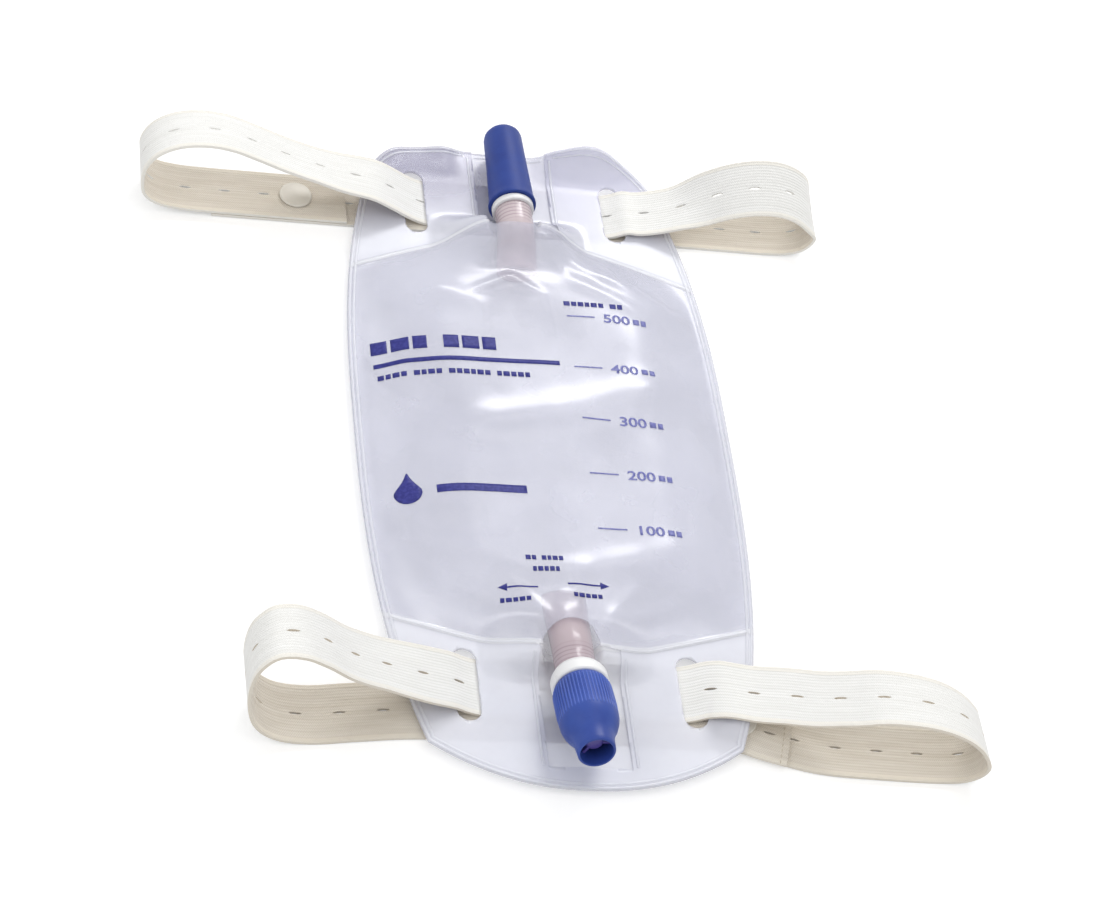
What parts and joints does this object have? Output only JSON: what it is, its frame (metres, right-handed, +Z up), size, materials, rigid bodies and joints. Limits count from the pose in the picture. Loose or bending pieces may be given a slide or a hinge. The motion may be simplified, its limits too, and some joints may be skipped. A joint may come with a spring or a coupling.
{
  "type": "urine drainage leg bag",
  "caption": "Flat clear film leg bag with a capped stepped inlet, a twist drain valve at the bottom and ivory buttonhole straps looped through its corner slots.",
  "frame": {"origin": "on the flat underside of the back film, at the middle of the bag's width, 147 mm below its top edge", "axes": "+Y runs from the outlet valve to the inlet, +X to the right seen from the front, +Z up out of the front film"},
  "size_m": [0.2679, 0.2755, 0.0434],
  "materials": {
    "clear_film": "soft gloss translucent film",
    "soft_tube": "soft translucent tube",
    "sleeve_film": "thin clear film",
    "blue_cap": "satin",
    "white_plastic": "satin",
    "blue_valve": "satin",
    "seal_rubber": "matt",
    "ivory_strap": "woven elastic",
    "button_plastic": "satin"
  },
  "bodies": {
    "bag": {"back_film": "clear_film", "front_film": "clear_film", "inlet_tube": "soft_tube", "inlet_connector": "white_plastic", "anti_reflux_sleeve": "sleeve_film", "outlet_tube": "soft_tube", "valve_stem": "white_plastic", "upper_strap": "ivory_strap", "lower_strap": "ivory_strap", "upper_button": "button_plastic", "lower_button": "button_plastic"},
    "cap": {"inlet_cap": "blue_cap"},
    "seal": {"valve_seal": "seal_rubber"},
    "barrel": {"valve_barrel": "blue_valve"}
  },
  "joints": [
    {"name": "cap_pull", "type": "slide", "parent": "bag", "child": "cap", "axis": [0, 0.9998, -0.0175], "range_m": [0, 0.034]},
    {"name": "valve_travel", "type": "slide", "parent": "bag", "child": "seal", "axis": [0, -0.9703, 0.2419], "range_m": [0, 0.003]},
    {"name": "valve_twist", "type": "hinge", "parent": "seal", "child": "barrel", "pos_m": [-0.003, -0.0947, 0.01329], "axis": [0, -0.9703, 0.2419], "range_deg": [0, 180]}
  ],
  "couplings": [
    {"joint": "valve_travel", "follows": "valve_twist", "m_per_rad": 0.00095}
  ]
}
